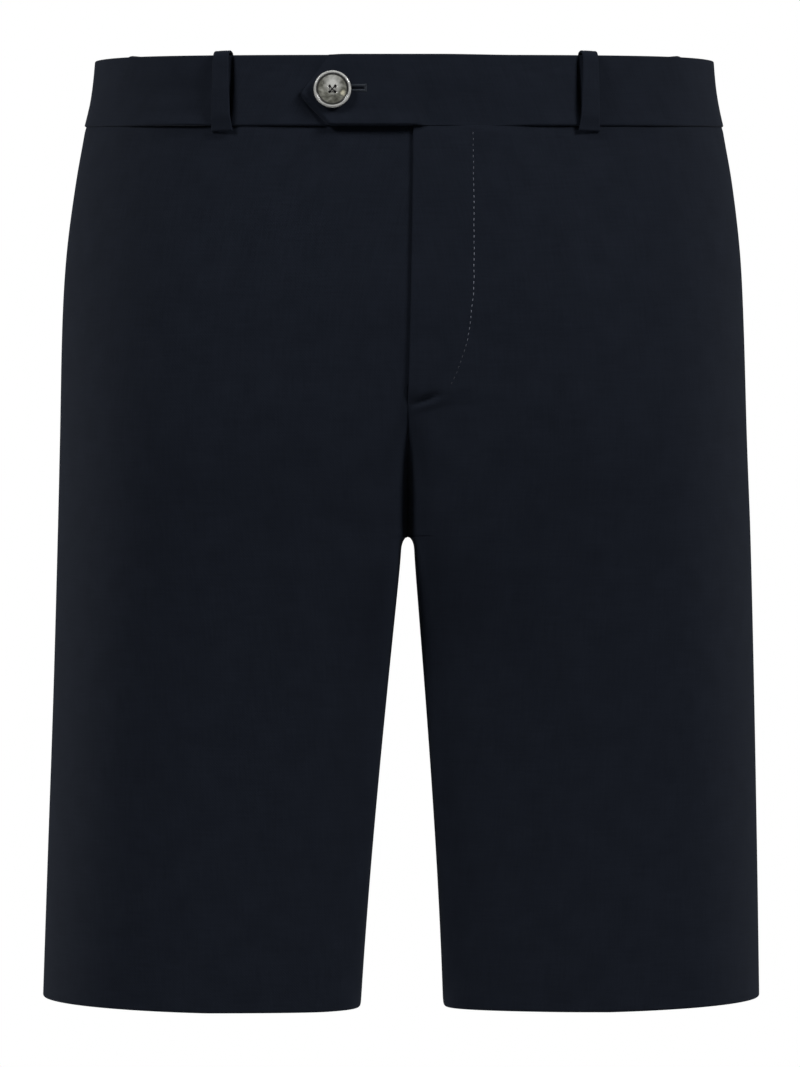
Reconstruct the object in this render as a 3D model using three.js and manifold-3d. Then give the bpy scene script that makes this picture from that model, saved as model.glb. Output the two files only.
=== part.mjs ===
// Men's bermuda shorts in smooth suiting, filled out as if worn: hollow, and open at the waist and hems.
// Every cut piece is its own solid: four panels, two halves of the waistband, five belt loops, a button.
// Units are millimetres. +Z is up and the front faces -Y, so the wearer's left is +X.
// The origin is in the middle of the waist, level with the waistband seam at the centre front.
// A height is given as a drop below that seam, so the waistband has negative drops.
import * as THREE from "three";
import { mergeVertices } from "three/addons/utils/BufferGeometryUtils.js";
import Module from "manifold-3d";

const wasm = await Module();
wasm.setup();

// Thicknesses and clearances
const CLOTH = 1.2;
const BAND = 2.6;
const SEAM_GAP = 0.3;
const LAP_GAP = 0.6;

// Lengths of the garment
const BAND_HEIGHT = 38;
const RISE = 218;
const LENGTH = 472;
const HEM_DEPTH = 35;

// How far above the crotch point the leg sections start to part, at the front and the back seam.
// power: how fast they part; ease: rounds the bottom of the seam's curve.
const CROTCH = { front: 102, back: 130, power: 3, ease: 6, flattest: 0.05 };

// The gap between the legs: a narrow arch along the inseams, and how much each leg draws away from the centre
// by the hem. near: how closely the arch keeps to the inseam; ease: rounds the start of the spread;
// bend: how much faster a leg parts at the top than at the hem.
const ARCH = { width: 3.2, height: 7, near: 24 };
const SPREAD = { ease: 8, right: 22.7, rightBend: 0.14, left: 16.2, leftBend: 0.21 };

// Each leg's front is flat from its middle to the inseam, where it turns in sharply. square: how boxy it gets
// between two drops, top and full; hem: how boxy it still is there. On the way it slopes back, from a distance
// across, start, to the inseam. room: the share of the front seam's depth that this may take above the crotch.
const FACET = { square: 12, top: 105, full: 185, hem: 6, room: 0.8 };
const SLOPES = {
  right: { start: 48, steep: 0.42, ease: 10, top: 230, full: 300 },
  left: { start: 90, steep: 0.22, ease: 20, top: 205, full: 290 },
};

// The waist leans forward. Each hem rises to its outer side and bows down in the middle.
const WAIST_LEAN = 0.06;
const LEAN_FADE = 120;
const HEM_SLANT = 2.5;
const HEM_BOW = { right: 1.6, left: 1 };
const HEM_FADE = 280;

// Fly and tab. edge: how far left of the centre the fly's edge is at the waist; bend: how late it nears the
// centre; underlap: how far the right front runs on beneath it; underEnd to underGone: where that ends;
// flat to stitched: where the lap settles.
const FLY = {
  edge: 2.6,
  bend: 1.5,
  bottom: 150,
  underlap: 12,
  underEnd: 128,
  underGone: 138,
  flat: 16,
  stitched: 58,
};
const TAB = { corner: 42, point: 56.5, middle: 16.5, blunt: 2 };
const BAND_PROUD = 0.7;

const BUTTON = { across: 40.1, up: 18.8, radius: 10, hole: 0.75, holeSpread: 1.45, standoff: 0.4 };
// The button's outline, from the middle of its flat back round the rim to the middle of its dish
const BUTTON_PROFILE = [
  { r: 0, out: 0 },
  { r: 8.2, out: 0 },
  { r: 9.5, out: 0.5 },
  { r: BUTTON.radius, out: 1.4 },
  { r: 9.9, out: 2.3 },
  { r: 9.4, out: 2.9 },
  { r: 8.9, out: 2.95 },
  { r: 8.4, out: 2.5 },
  { r: 8.1, out: 2.2 },
  { r: 7.4, out: 2.3 },
  { r: 5.6, out: 1.95 },
  { r: 3, out: 1.75 },
  { r: 0, out: 1.7 },
];

// Horizontal sections. right and left: half widths to the outseam; front and back: depths from the side
// line; fullest: how far from the centre they are deepest; square: how boxy they are, where 2 is an ellipse.
const SECTIONS = [
  { drop: -45, right: 169.7, left: 166.1, front: 112, back: 107, fullest: 22, square: 2.3 },
  { drop: 0, right: 176.6, left: 172.5, front: 116, back: 113, fullest: 26, square: 2.3 },
  { drop: 30, right: 182.0, left: 177.8, front: 119, back: 121, fullest: 34, square: 2.3 },
  { drop: 65, right: 186.9, left: 182.1, front: 121, back: 130, fullest: 47, square: 2.3 },
  { drop: 100, right: 189.2, left: 184.0, front: 122, back: 136, fullest: 61, square: 2.3 },
  { drop: 165, right: 190.6, left: 185.9, front: 119, back: 136, fullest: 83, square: 2.25 },
  { drop: 218, right: 191.9, left: 187.9, front: 111, back: 123, fullest: 93, square: 2.2 },
  { drop: 300, right: 194.2, left: 189.9, front: 99, back: 105, fullest: 100, square: 2.2 },
  { drop: 395, right: 197.5, left: 191.7, front: 88, back: 91, fullest: 105, square: 2.15 },
  { drop: 475, right: 200.2, left: 192.9, front: 80, back: 82, fullest: 108, square: 2.15 },
];

// Where the panels have a row of points, closer together round the fly's end, the crotch and the hem
const HEM_TOP = LENGTH - HEM_DEPTH;
const PANEL_ROWS = [
  0, 15, 35, 60, 85, 110, 128, 138, 150, 163, 175, 186, 196, 204, 211, 215.5, 218, 221, 226, 235,
  250, 272, 298, 325, 355, 385, 412, HEM_TOP, HEM_TOP + 1, 455, LENGTH,
];
// Columns from the outseam to the inner edge's turn, and on to the inner edge. turn: its share of the width.
const PANEL_COLUMNS = { outer: 15, inner: 11, turn: 0.22 };
const BAND_ROWS = [0, 0.22, 0.43, 0.64, 0.82, 1];
const BAND_COLUMNS = 36;

// The belt loops' centre line: up the band, out from the cloth's face, over the top edge and down inside
const LOOP_PATH = [
  { up: -2.8, out: 1.5, thick: 1.9, width: 12.6 },
  { up: 0.4, out: 2.2, thick: 1.5, width: 11.8 },
  { up: 5, out: 3.4, thick: 1.4, width: 10.8 },
  { up: 19, out: 4.1, thick: 1.4, width: 10 },
  { up: 33, out: 3.8, thick: 1.4, width: 9.4 },
  { up: 37, out: 3.5, thick: 1.4, width: 9.2 },
  { up: 39.2, out: 2, thick: 1.4, width: 9.2 },
  { up: 39.9, out: -0.8, thick: 1.4, width: 9.2 },
  { up: 39.2, out: -3.3, thick: 1.4, width: 9.2 },
  { up: 36.5, out: -4.2, thick: 1.4, width: 9.2 },
  { up: 31, out: -4.2, thick: 1.4, width: 9.2 },
];

const RIGHT = -1;
const LEFT = 1;
const FRONT = -1;
const BACK = 1;

// Where the loops sit: across from the centre, or at a turn round the section from the outseam
const LOOPS = [
  { name: "belt_loop_front_right", side: RIGHT, half: FRONT, across: 98.3 },
  { name: "belt_loop_front_left", side: LEFT, half: FRONT, across: 95.8 },
  { name: "belt_loop_side_right", side: RIGHT, half: BACK, turn: 0.58 },
  { name: "belt_loop_side_left", side: LEFT, half: BACK, turn: 0.58 },
  { name: "belt_loop_back", side: LEFT, half: BACK, across: 0 },
];

const cloth = new THREE.MeshStandardMaterial({ color: 0x171b24, roughness: 0.85, metalness: 0 });
const horn = new THREE.MeshStandardMaterial({ color: 0x8a8a84, roughness: 0.3, metalness: 0 });

const smooth = (from, to, value) => THREE.MathUtils.smoothstep(value, from, to);

// A size from the table at any drop, on a smooth curve through its rows.
function sizeAt(drop, column) {
  const last = SECTIONS.length - 1;
  let i = 0;
  while (i < last - 1 && drop > SECTIONS[i + 1].drop) i += 1;
  const slope = (j) => {
    const before = SECTIONS[Math.max(j - 1, 0)];
    const after = SECTIONS[Math.min(j + 1, last)];
    return (after[column] - before[column]) / (after.drop - before.drop);
  };
  const [a, b] = [SECTIONS[i], SECTIONS[i + 1]];
  const span = b.drop - a.drop;
  const t = (drop - a.drop) / span;
  const [t2, t3] = [t * t, t * t * t];
  return (
    (2 * t3 - 3 * t2 + 1) * a[column] +
    (t3 - 2 * t2 + t) * span * slope(i) +
    (3 * t2 - 2 * t3) * b[column] +
    (t3 - t2) * span * slope(i + 1)
  );
}

// A point of a rounded square round zero at an angle. A power of 2 makes a circle, and a greater one is boxier.
function roundedSquare(turn, power) {
  const [along, out] = [Math.cos(turn), Math.sin(turn)];
  const size = (Math.abs(along) ** power + Math.abs(out) ** power) ** (1 / power);
  return [along / size, out / size];
}

// How far a leg has drawn away from the centre at a drop.
function spreadAt(side, drop) {
  const below = Math.max(0, drop - RISE);
  const down = (below - SPREAD.ease * (1 - Math.exp(-below / SPREAD.ease))) / (LENGTH - RISE);
  const [atHem, bend] = side === LEFT ? [SPREAD.left, SPREAD.leftBend] : [SPREAD.right, SPREAD.rightBend];
  return (atHem * down * (1 - bend * down ** 2)) / (1 - bend);
}

// One leg's half section at a drop: an outer and an inner quarter that meet where it is deepest.
// Above the crotch the inner quarter is so wide that the centre seam cuts it off.
function sectionAt(side, half, drop) {
  const leg = side === LEFT ? "left" : "right";
  const outer = sizeAt(drop, leg);
  const fullest = sizeAt(drop, "fullest");
  const depth = sizeAt(drop, half === BACK ? "back" : "front");
  const square = sizeAt(drop, "square");
  const below = Math.max(0, drop - RISE);
  const above = Math.max(0, RISE - drop);
  const eased = above ** 2 / (above + CROTCH.ease);
  const rest = Math.max(0, 1 - eased / (half === BACK ? CROTCH.back : CROTCH.front));
  const boxed = half === FRONT ? smooth(FACET.top, FACET.full, drop) : 0;
  const boxy = THREE.MathUtils.lerp(FACET.square, FACET.hem, smooth(RISE, LENGTH, drop));
  const innerSquare = THREE.MathUtils.lerp(square, boxy, boxed);
  const seamDepth = (1 - rest ** CROTCH.power) ** (1 / square);
  const slope = SLOPES[leg];
  const atCentre = (slope.steep * slope.start ** 2) / (slope.start + slope.ease);
  const room = (FACET.room * depth * (1 - seamDepth)) / atCentre;
  const set = half === FRONT ? smooth(slope.top, slope.full, drop) : 0;
  const share = (set * room) / Math.hypot(1, room);
  const seamShare = Math.min(1, (depth * seamDepth) / (depth - share * atCentre));
  const cut = Math.max(CROTCH.flattest, (1 - seamShare ** innerSquare) ** (1 / innerSquare));
  const spread = spreadAt(side, drop);
  const arched = ARCH.width * Math.sqrt(1 - (1 - Math.min(1, below / ARCH.height)) ** 2);
  const innerWidth = (fullest - spread) / cut;
  const slopeBack = (across) => {
    const sloped = Math.max(0, slope.start - across);
    return (share * slope.steep * sloped ** 2) / (sloped + slope.ease);
  };
  return { fullest, outerWidth: outer - fullest, innerWidth, arched, depth, square, innerSquare, slopeBack };
}

// A point of the cloth's face. turn is 0 at the outseam and pi at the inseam.
function facePoint(side, half, drop, turn) {
  const section = sectionAt(side, half, drop);
  const [along, out] = roundedSquare(turn, Math.cos(turn) < 0 ? section.innerSquare : section.square);
  const inward = Math.max(0, -along);
  const inner = along * section.innerWidth + section.arched * inward ** ARCH.near;
  const across = section.fullest + (along > 0 ? along * section.outerWidth : inner);
  const y = half * (section.depth - section.slopeBack(across)) * out;
  const lean = WAIST_LEAN * (y + sizeAt(0, "front")) * (1 - smooth(0, LEAN_FADE, drop));
  const bow = (side === LEFT ? HEM_BOW.left : HEM_BOW.right) * Math.sqrt(1 - along ** 2);
  const slant = (HEM_SLANT * Math.max(0, along) - bow) * smooth(HEM_FADE, LENGTH, drop);
  return new THREE.Vector3(side * (across + SEAM_GAP / 2), y, lean + slant - drop);
}

// The outward direction at such a point.
function faceNormal(side, half, drop, turn) {
  const [turnStep, dropStep] = [0.01, 0.5];
  const at = (moreDrop, moreTurn) => facePoint(side, half, drop + moreDrop, turn + moreTurn);
  const round = at(0, turnStep).sub(at(0, -turnStep));
  const down = at(dropStep, 0).sub(at(-dropStep, 0));
  return round.cross(down).normalize().multiplyScalar(-side * half);
}

// The turn at which the section reaches a distance from the centre, or the inseam if it never does.
function turnAt(side, half, drop, across) {
  const { fullest, outerWidth, innerWidth, square, innerSquare } = sectionAt(side, half, drop);
  const from = across - fullest;
  const along = THREE.MathUtils.clamp(from / (from > 0 ? outerWidth : innerWidth), -1, 1);
  const power = from > 0 ? square : innerSquare;
  return Math.atan2((1 - Math.abs(along) ** power) ** (1 / power), along);
}

// Fine stations along one stretch of a section, between two turns on either side of where it is deepest.
function stretch(side, half, drop, fromTurn, toTurn, steps = 80) {
  const middle = Math.PI / 2;
  const stations = [];
  for (let i = 0; i <= 2 * steps; i += 1) {
    const turn =
      i < steps
        ? THREE.MathUtils.lerp(fromTurn, middle, i / steps)
        : THREE.MathUtils.lerp(middle, toTurn, i / steps - 1);
    stations.push({ half, turn, point: facePoint(side, half, drop, turn) });
  }
  return stations;
}

// Stations picked from a fine run of them, starting and ending a little inside it. They are evenly spaced up
// to where the run first meets a condition, and on from there.
function evenly(side, drop, run, inset, columns, moreColumns = 0, meets = () => false) {
  const lengths = [0];
  for (let i = 1; i < run.length; i += 1) {
    lengths.push(lengths[i - 1] + run[i].point.distanceTo(run[i - 1].point));
  }
  const end = lengths[lengths.length - 1] - inset;
  const middle = moreColumns ? lengths[run.findIndex(meets)] : end;
  const picked = [];
  let i = 1;
  for (let column = 0; column <= columns + moreColumns; column += 1) {
    const wanted =
      column <= columns
        ? THREE.MathUtils.lerp(inset, middle, column / columns)
        : THREE.MathUtils.lerp(middle, end, (column - columns) / moreColumns);
    while (i < run.length - 1 && lengths[i] < wanted) i += 1;
    const share = (wanted - lengths[i - 1]) / Math.max(lengths[i] - lengths[i - 1], 1e-9);
    const half = run[i].half;
    const start = run[i - 1].half === half ? run[i - 1].turn : 0;
    const turn = THREE.MathUtils.lerp(start, run[i].turn, share);
    const point = facePoint(side, half, drop, turn);
    picked.push({ point, normal: faceNormal(side, half, drop, turn) });
  }
  return picked;
}

// A closed wall between two grids of points, given row by row.
function wall(face, back) {
  const rows = face.length;
  const columns = face[0].length;
  const at = (layer, r, c) => (layer * rows + r) * columns + c;
  const triangles = [];
  const quad = (a, b, c, d) => triangles.push(a, b, c, a, c, d);
  const [endRow, endColumn] = [rows - 1, columns - 1];
  for (let r = 0; r < endRow; r += 1) {
    for (let c = 0; c < endColumn; c += 1) {
      quad(at(0, r, c), at(0, r + 1, c), at(0, r + 1, c + 1), at(0, r, c + 1));
      quad(at(1, r, c), at(1, r, c + 1), at(1, r + 1, c + 1), at(1, r + 1, c));
    }
    quad(at(0, r, 0), at(1, r, 0), at(1, r + 1, 0), at(0, r + 1, 0));
    quad(at(0, r, endColumn), at(0, r + 1, endColumn), at(1, r + 1, endColumn), at(1, r, endColumn));
  }
  for (let c = 0; c < endColumn; c += 1) {
    quad(at(0, 0, c), at(0, 0, c + 1), at(1, 0, c + 1), at(1, 0, c));
    quad(at(0, endRow, c), at(1, endRow, c), at(1, endRow, c + 1), at(0, endRow, c + 1));
  }
  const points = [...face.flat(), ...back.flat()];
  const volume = (a, b, c) => points[a].dot(new THREE.Vector3().crossVectors(points[b], points[c]));
  let total = 0;
  for (let i = 0; i < triangles.length; i += 3) total += volume(...triangles.slice(i, i + 3));
  if (total < 0) triangles.reverse();
  return new THREE.BufferGeometry().setFromPoints(points).setIndex(triangles);
}

function named(name, geometry, material = cloth) {
  const mesh = new THREE.Mesh(geometry, material);
  mesh.name = name;
  return mesh;
}

const moved = (point, normal, distance) => point.clone().addScaledVector(normal, distance);

// How far from the centre a front panel's inner edge lies. The right one runs on under the fly.
function frontEdge(side, drop) {
  const edge = FLY.edge * (1 - (Math.min(drop, FLY.bottom) / FLY.bottom) ** FLY.bend);
  if (side === LEFT) return edge;
  return -edge - FLY.underlap * (1 - smooth(FLY.underEnd, FLY.underGone, drop));
}

// The left front and the left half of the waistband rise over what they lap, and settle towards the side.
const lapShare = (across) => 1 - smooth(FLY.flat, FLY.stitched, across);

function panel(side, half) {
  const face = [];
  const inside = [];
  for (const drop of PANEL_ROWS) {
    const edge = half === FRONT ? frontEdge(side, drop) : 0;
    const run = stretch(side, half, drop, 0, turnAt(side, half, drop, edge));
    const { outer, inner, turn } = PANEL_COLUMNS;
    const inwards = sizeAt(drop, "fullest") * turn + spreadAt(side, drop) * (1 - turn);
    const turned = (s) => side * s.point.x < inwards;
    const stations = evenly(side, drop, run, SEAM_GAP / 2, outer, inner, turned);
    const layers = drop > HEM_TOP ? 2 : 1; // the hem is turned up inside
    const onFly = side === LEFT && half === FRONT ? 1 - smooth(FLY.underGone, FLY.bottom, drop) : 0;
    const lift = ({ point }) => (CLOTH + LAP_GAP) * onFly * lapShare(side * point.x);
    face.push(stations.map((s) => moved(s.point, s.normal, lift(s))));
    inside.push(stations.map((s) => moved(s.point, s.normal, lift(s) - layers * CLOTH)));
  }
  return wall(face, inside);
}

// How far past the centre front a half of the waistband runs at a height up the band.
function bandEnd(side, up) {
  if (side === RIGHT) return -(FLY.edge + FLY.underlap);
  const blunted = (distance) => Math.hypot(distance, TAB.blunt) - TAB.blunt;
  const reach = up < TAB.middle ? TAB.middle : BAND_HEIGHT - TAB.middle;
  const pointed = 1 - blunted(up - TAB.middle) / blunted(reach);
  return -(TAB.corner + (TAB.point - TAB.corner) * pointed);
}

function waistband(side) {
  const face = [];
  const inside = [];
  for (const share of BAND_ROWS) {
    const up = THREE.MathUtils.lerp(SEAM_GAP, BAND_HEIGHT, share);
    const backRun = stretch(side, BACK, -up, turnAt(side, BACK, -up, 0), 0);
    const frontRun = stretch(side, FRONT, -up, 0, turnAt(side, FRONT, -up, bandEnd(side, up)));
    const stations = evenly(side, -up, [...backRun, ...frontRun.slice(1)], SEAM_GAP / 2, BAND_COLUMNS);
    const onLap = ({ point }) => (side === LEFT && point.y < 0 ? lapShare(point.x) : 0);
    const lift = (s) => BAND_PROUD + (BAND + LAP_GAP) * onLap(s);
    face.push(stations.map((s) => moved(s.point, s.normal, lift(s))));
    inside.push(stations.map((s) => moved(s.point, s.normal, lift(s) - BAND)));
  }
  return wall(face, inside);
}

// A point on the waist at a loop, its outward normal and the way round.
function onWaist({ side, half, across, turn }, up) {
  const at = turn ?? turnAt(side, half, -up, across);
  const point = facePoint(side, half, -up, at);
  const normal = faceNormal(side, half, -up, at);
  const round = new THREE.Vector3(0, 0, 1).cross(normal).normalize();
  return { point, normal, round };
}

function beltLoop(place) {
  const face = [];
  const inside = [];
  LOOP_PATH.forEach((station, i) => {
    const before = LOOP_PATH[Math.max(i - 1, 0)];
    const after = LOOP_PATH[Math.min(i + 1, LOOP_PATH.length - 1)];
    const way = new THREE.Vector2(after.up - before.up, after.out - before.out).normalize();
    const { point, normal, round } = onWaist(place, station.up);
    const edges = (offset) =>
      [-0.5, 0.5].map((across) => {
        const made = moved(point, normal, station.out + way.x * offset);
        made.z -= way.y * offset;
        return made.addScaledVector(round, across * station.width);
      });
    face.push(edges(station.thick / 2));
    inside.push(edges(-station.thick / 2));
  });
  return wall(face, inside);
}

// A three.js geometry as a solid to cut, and back again.
function solid(geometry) {
  const bare = geometry.clone().deleteAttribute("normal").deleteAttribute("uv");
  const merged = mergeVertices(bare, 1e-4);
  const vertProperties = merged.attributes.position.array;
  const triVerts = new Uint32Array(merged.index.array);
  return new wasm.Manifold(new wasm.Mesh({ numProp: 3, vertProperties, triVerts }));
}

function geometryOf(manifold) {
  const made = manifold.getMesh();
  const position = new THREE.BufferAttribute(new Float32Array(made.vertProperties), 3);
  return new THREE.BufferGeometry().setAttribute("position", position).setIndex([...made.triVerts]);
}

// The button: a rounded rim, a groove inside it and a shallow dish with four holes. Its axis is +Y.
function buttonGeometry() {
  const profile = BUTTON_PROFILE.map(({ r, out }) => new THREE.Vector2(r, out));
  const [segments, drillLength, drillSegments] = [32, 8, 8];
  let made = solid(new THREE.LatheGeometry(profile, segments));
  for (const x of [-BUTTON.holeSpread, BUTTON.holeSpread]) {
    for (const z of [-BUTTON.holeSpread, BUTTON.holeSpread]) {
      const drill = new THREE.CylinderGeometry(BUTTON.hole, BUTTON.hole, drillLength, drillSegments);
      made = made.subtract(solid(drill.translate(x, 0, z)));
    }
  }
  return geometryOf(made);
}

// The button lies on the tab, near its point.
function placedButton() {
  const turn = turnAt(LEFT, FRONT, -BUTTON.up, -BUTTON.across);
  const point = facePoint(LEFT, FRONT, -BUTTON.up, turn);
  const normal = faceNormal(LEFT, FRONT, -BUTTON.up, turn);
  const across = new THREE.Vector3().crossVectors(normal, new THREE.Vector3(0, 0, 1)).normalize();
  const upwards = new THREE.Vector3().crossVectors(across, normal);
  const mesh = named("button", buttonGeometry(), horn);
  mesh.position.copy(moved(point, normal, BAND_PROUD + BAND + LAP_GAP + BUTTON.standoff));
  mesh.setRotationFromMatrix(new THREE.Matrix4().makeBasis(across, normal, upwards));
  return mesh;
}

const shorts = new THREE.Group();
shorts.add(named("front_right", panel(RIGHT, FRONT)));
shorts.add(named("front_left", panel(LEFT, FRONT)));
shorts.add(named("back_right", panel(RIGHT, BACK)));
shorts.add(named("back_left", panel(LEFT, BACK)));
shorts.add(named("waistband_right", waistband(RIGHT)));
shorts.add(named("waistband_left", waistband(LEFT)));
for (const loop of LOOPS) shorts.add(named(loop.name, beltLoop(loop)));
shorts.add(placedButton());

export default shorts;
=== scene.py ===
import math

import bmesh
import bpy
import numpy as np
from mathutils import Matrix, Vector


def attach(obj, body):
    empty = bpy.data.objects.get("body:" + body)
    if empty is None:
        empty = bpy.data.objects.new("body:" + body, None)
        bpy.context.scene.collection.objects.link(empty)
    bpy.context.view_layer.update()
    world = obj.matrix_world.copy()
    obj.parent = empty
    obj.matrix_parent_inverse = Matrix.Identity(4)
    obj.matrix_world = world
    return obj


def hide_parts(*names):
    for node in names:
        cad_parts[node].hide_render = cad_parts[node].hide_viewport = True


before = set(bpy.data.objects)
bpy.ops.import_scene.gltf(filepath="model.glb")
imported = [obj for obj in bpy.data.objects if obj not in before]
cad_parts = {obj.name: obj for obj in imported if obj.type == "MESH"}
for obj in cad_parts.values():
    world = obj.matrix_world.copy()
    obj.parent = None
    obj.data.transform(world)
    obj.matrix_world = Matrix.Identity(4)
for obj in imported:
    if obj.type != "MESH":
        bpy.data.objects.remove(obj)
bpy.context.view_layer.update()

# Sizes are in millimetres, as in the solids' source, and become metres where a mesh is made.
MM = 0.001
CLOTH = 1.2
BAND = 2.6
SEAM_GAP = 0.3
LAP_GAP = 0.6
BAND_HEIGHT = 38
RISE = 218
LENGTH = 472
HEM_DEPTH = 35

# How far above the crotch point the leg sections start to part, at the front and the back seam.
# power: how fast they part; ease: rounds the bottom of the seam's curve.
CROTCH = {"front": 102, "back": 130, "power": 3, "ease": 6, "flattest": 0.05}

# The gap between the legs: a narrow arch along the inseams, and how far each leg draws away by the hem.
# near: how closely the arch keeps to the inseam; ease: rounds the start of the spread; bend: how much
# faster a leg parts at the top than at the hem.
ARCH = {"width": 3.2, "height": 7, "near": 24}
SPREAD = {"ease": 8, "right": 22.7, "right_bend": 0.14, "left": 16.2, "left_bend": 0.21}

# Each leg's front is flat from its middle to the inseam, where it turns in sharply. square: how boxy it
# gets between two drops, top and full; hem: how boxy it still is there. It slopes back from start, a
# distance across, to the inseam. room: the share of the front seam's depth that this may take.
FACET = {"square": 12, "top": 105, "full": 185, "hem": 6, "room": 0.8}
SLOPES = {
    "right": {"start": 48, "steep": 0.42, "ease": 10, "top": 230, "full": 300},
    "left": {"start": 90, "steep": 0.22, "ease": 20, "top": 205, "full": 290},
}

# The waist leans forward. Each hem rises to its outer side and bows down in the middle.
LEAN = {"share": 0.06, "fade": 120}
HEM = {"slant": 2.5, "bow_right": 1.6, "bow_left": 1, "fade": 280}

# The fly. edge: how far left of the centre it ends at the waist; bend: how late that nears the centre;
# underlap: how far the right front runs on beneath it; under_end to under_gone: where that ends.
# Across the lap, the cloth comes down from its full height at flat to none at stitched.
FLY = {"edge": 2.6, "bend": 1.5, "bottom": 150, "underlap": 12, "under_end": 128, "under_gone": 138}
LAP = {"flat": 16, "stitched": 58}

# The tab: how far past the centre its corners and its point lie, how high the point is, and how blunt.
TAB = {"corner": 42, "point": 56.5, "middle": 16.5, "blunt": 2}
BAND_PROUD = 0.7

# How far the waistband's top edge sinks at the sides, how far it hollows in below, and in what turn
CORNER = {"dip": 1.8, "hollow": 0.9, "turn": 0.5}

# The tab's upper edge lies thin on the band, and its lower edge stands off. low and high: between which
# heights the one becomes the other.
TAB_EDGE = {"thinned": 2.1, "closed": 0.9, "open": 0.2, "width": 4.5, "low": 15, "high": 24}

# How far the cloth runs past its edge at a seam, to meet the next piece, and up behind the waistband
SEAM_LAP = 0.1
TUCKED = 0.6

# How far cloth sinks towards a seam and over what distance, and how far panels sink to the waistband
SEAM_DIP = {"depth": 0.45, "width": 1.5}
WAIST_DIP = 0.3
# The front's centre seam lies deeper and wider between these drops, above the crotch
VALLEY = {"top": 180, "full": 214, "deeper": 1.2, "wider": 0.8}
# Over what distance from the centre seam the cloth is drawn to it, and its walls turn parallel to it
CENTRE = {"drawn": 3, "turned": 6}
# How round a rolled edge is, as a share of a half circle, and over what height the hem's fold starts
ROLL = 0.92
HEM_STEP = 1.5

# The waistband's edges: their rounding, and how far the lower one stands off over the back. out and in:
# how far up that and the pressed part reach. A pressed edge is flat, and rounded again further up.
BAND_EDGE = {"round": 0.9, "stands_off": 0.35, "out": 9, "in": 30, "flat": 2, "rounded": 4}

# Distances between a mesh's stations, and the longest row, which sets how many there are
PANEL_GRID = {"front": 2.1, "back": 2.8, "rows": 2.6, "longest": 235}
BAND_GRID = {"along": 1.0, "up": 0.9, "longest": 500}

BUTTON = {"across": 40.1, "up": 18.8, "hole": 0.75, "hole_spread": 1.45, "standoff": 0.4}

# Horizontal sections, from the waistband's top to the hem.
COLUMNS = ("drop", "right", "left", "front", "back", "fullest", "square")
SECTIONS = (
    (-45, 169.7, 166.1, 112, 107, 22, 2.3),
    (0, 176.6, 172.5, 116, 113, 26, 2.3),
    (30, 182.0, 177.8, 119, 121, 34, 2.3),
    (65, 186.9, 182.1, 121, 130, 47, 2.3),
    (100, 189.2, 184.0, 122, 136, 61, 2.3),
    (165, 190.6, 185.9, 119, 136, 83, 2.25),
    (218, 191.9, 187.9, 111, 123, 93, 2.2),
    (300, 194.2, 189.9, 99, 105, 100, 2.2),
    (395, 197.5, 191.7, 88, 91, 105, 2.15),
    (475, 200.2, 192.9, 80, 82, 108, 2.15),
)
TABLE = {name: np.array([row[i] for row in SECTIONS], float) for i, name in enumerate(COLUMNS)}

RIGHT = -1
LEFT = 1
QUARTER_TURN = math.pi / 2


# The form of the shorts. A turn is 0 at the outseam and pi at the inseam, and negative on the back.


def smooth(low, high, value):
    """0 below low, 1 above high and a soft step between them."""
    t = np.clip((value - low) / (high - low), 0, 1)
    return t * t * (3 - 2 * t)


def rounded_square(turn, power):
    """A point of a rounded square round zero: a circle's for a power of 2, and boxier above it."""
    along, out = np.cos(turn), np.sin(turn)
    size = (np.abs(along) ** power + np.abs(out) ** power) ** (1 / power)
    return along / size, out / size


def size_at(drop, column):
    """A size from the table at any drop, on a smooth curve through its rows."""
    drops, values = TABLE["drop"], TABLE[column]
    last = len(drops) - 1
    before = np.maximum(np.arange(last + 1) - 1, 0)
    after = np.minimum(np.arange(last + 1) + 1, last)
    slopes = (values[after] - values[before]) / (drops[after] - drops[before])
    i = np.searchsorted(drops[1:-1], drop)
    span = drops[i + 1] - drops[i]
    t = (drop - drops[i]) / span
    return (
        (2 * t**3 - 3 * t**2 + 1) * values[i]
        + (t**3 - 2 * t**2 + t) * span * slopes[i]
        + (3 * t**2 - 2 * t**3) * values[i + 1]
        + (t**3 - t**2) * span * slopes[i + 1]
    )


def leg_of(side):
    return "left" if side == LEFT else "right"


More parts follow.
